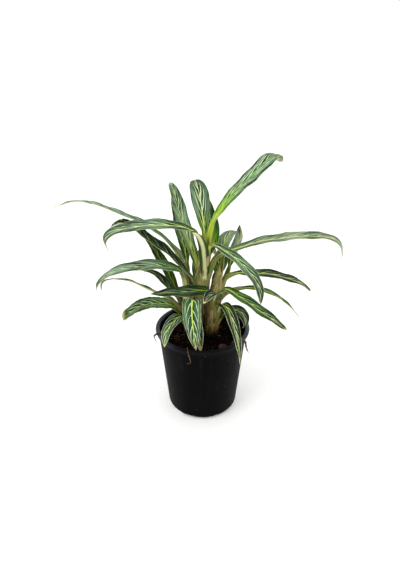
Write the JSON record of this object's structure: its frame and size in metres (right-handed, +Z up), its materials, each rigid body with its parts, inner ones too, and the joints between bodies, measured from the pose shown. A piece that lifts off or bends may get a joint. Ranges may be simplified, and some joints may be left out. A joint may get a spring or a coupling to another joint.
{
  "type": "potted aglaonema",
  "caption": "Potted house plant: a tapered plastic nursery pot of potting mix with upright sheathed shoots carrying long arching striped leaves.",
  "frame": {"origin": "on the pot's axis, at its flat underside", "axes": "+Z up along the pot's axis; -Y towards the viewer of the picture; +X to that viewer's right"},
  "size_m": [0.3347, 0.165, 0.3157],
  "materials": {
    "pot": "dull black polypropylene with a faint sheen, scuffs and dust",
    "soil": "damp dark peat and bark crumbs",
    "shoot": "pale cream-green sheaths, faintly ribbed",
    "leaf": "satin dark green with silver side veins and a yellow-green midrib",
    "pebble": "dull reddish brown",
    "rootlet": "dry fibre"
  },
  "bodies": {
    "root": {"pot": "pot", "soil": "soil", "shoot_centre": "shoot", "leaf_centre_1": "leaf", "leaf_centre_2": "leaf", "leaf_centre_3": "leaf", "leaf_centre_4": "leaf", "leaf_centre_5": "leaf", "leaf_centre_6": "leaf", "leaf_centre_7": "leaf", "leaf_centre_8": "leaf", "leaf_centre_9": "leaf", "shoot_left": "shoot", "leaf_left_1": "leaf", "leaf_left_2": "leaf", "leaf_left_3": "leaf", "leaf_left_4": "leaf", "leaf_left_5": "leaf", "leaf_left_6": "leaf", "shoot_right": "shoot", "leaf_right_1": "leaf", "leaf_right_2": "leaf", "leaf_right_3": "leaf", "leaf_right_4": "leaf", "leaf_right_5": "leaf", "leaf_right_6": "leaf", "shoot_back": "shoot", "leaf_back_1": "leaf", "leaf_back_2": "leaf", "leaf_back_3": "leaf", "leaf_back_4": "leaf", "shoot_front": "shoot", "leaf_front_1": "leaf", "leaf_front_2": "leaf", "shoot_rear": "shoot", "leaf_rear_1": "leaf", "leaf_rear_2": "leaf", "leaf_rear_3": "leaf", "leaf_rear_4": "leaf", "pebble": "pebble", "rootlet_front": "rootlet", "rootlet_left": "rootlet", "rootlet_right": "rootlet"}
  },
  "joints": []
}
